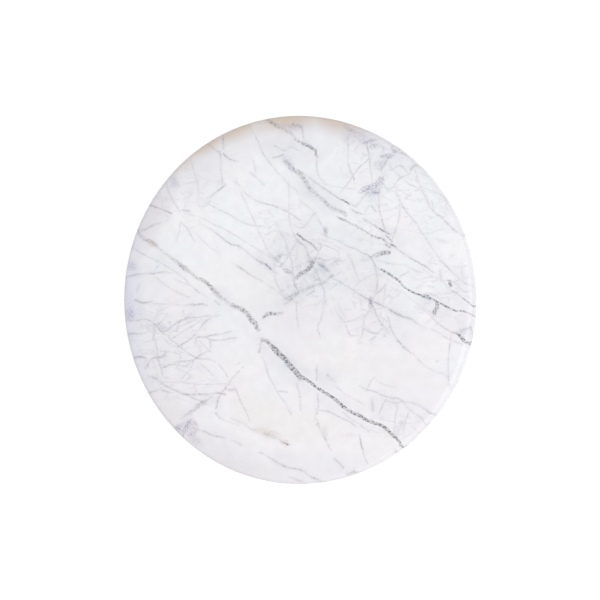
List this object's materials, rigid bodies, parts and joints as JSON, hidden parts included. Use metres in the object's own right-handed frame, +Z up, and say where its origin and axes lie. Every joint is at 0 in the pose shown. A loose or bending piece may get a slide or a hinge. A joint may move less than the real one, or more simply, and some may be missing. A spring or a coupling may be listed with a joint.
{
  "type": "lazy susan turntable",
  "caption": "Round white marble serving top that turns freely on a ring bearing above a smaller marble base with rubber feet.",
  "frame": {"origin": "on the turning axis, at the level of the table under the feet", "axes": "+Z up along the turning axis; +X through one base screw; the feet lie between the X and Y axes"},
  "size_m": [0.305, 0.305, 0.047],
  "materials": {
    "white_marble": "polished white marble with thin grey veins",
    "white_marble_base": "polished white marble with thin grey veins",
    "cushion_rubber": "matte black sheet rubber",
    "foot_rubber": "matte moulded rubber",
    "ring_aluminium": "turned, natural",
    "zinc_steel": "bright zinc plate",
    "black_steel": "black oxide",
    "ball_steel": "polished",
    "brass": "machined",
    "nylon": "natural moulded nylon"
  },
  "bodies": {
    "base": {"marble_base": "white_marble_base", "base_cushion": "cushion_rubber", "fixed_ring": "ring_aluminium", "fill_plug": "black_steel", "base_screws": "zinc_steel", "base_washers": "zinc_steel", "foot_1": "foot_rubber", "foot_2": "foot_rubber", "foot_3": "foot_rubber", "foot_4": "foot_rubber"},
    "ball_set": {"ball_cage": "nylon", "ball_1": "ball_steel", "ball_2": "ball_steel", "ball_3": "ball_steel", "ball_4": "ball_steel", "ball_5": "ball_steel", "ball_6": "ball_steel", "ball_7": "ball_steel", "ball_8": "ball_steel", "ball_9": "ball_steel", "ball_10": "ball_steel", "ball_11": "ball_steel", "ball_12": "ball_steel", "ball_13": "ball_steel", "ball_14": "ball_steel", "ball_15": "ball_steel", "ball_16": "ball_steel", "ball_17": "ball_steel", "ball_18": "ball_steel", "ball_19": "ball_steel", "ball_20": "ball_steel", "ball_21": "ball_steel", "ball_22": "ball_steel", "ball_23": "ball_steel", "ball_24": "ball_steel"},
    "turntable": {"marble_top": "white_marble", "top_cushion": "cushion_rubber", "top_inserts": "brass", "top_screws": "zinc_steel", "turning_ring": "ring_aluminium"}
  },
  "joints": [
    {"name": "turntable_spin", "type": "hinge", "parent": "base", "child": "turntable", "pos_m": [0, 0, 0.0255], "axis": [0, 0, 1], "continuous": true},
    {"name": "cage_orbit", "type": "hinge", "parent": "base", "child": "ball_set", "pos_m": [0, 0, 0.0255], "axis": [0, 0, 1], "continuous": true}
  ],
  "couplings": [
    {"joint": "cage_orbit", "follows": "turntable_spin", "ratio": 0.485}
  ]
}
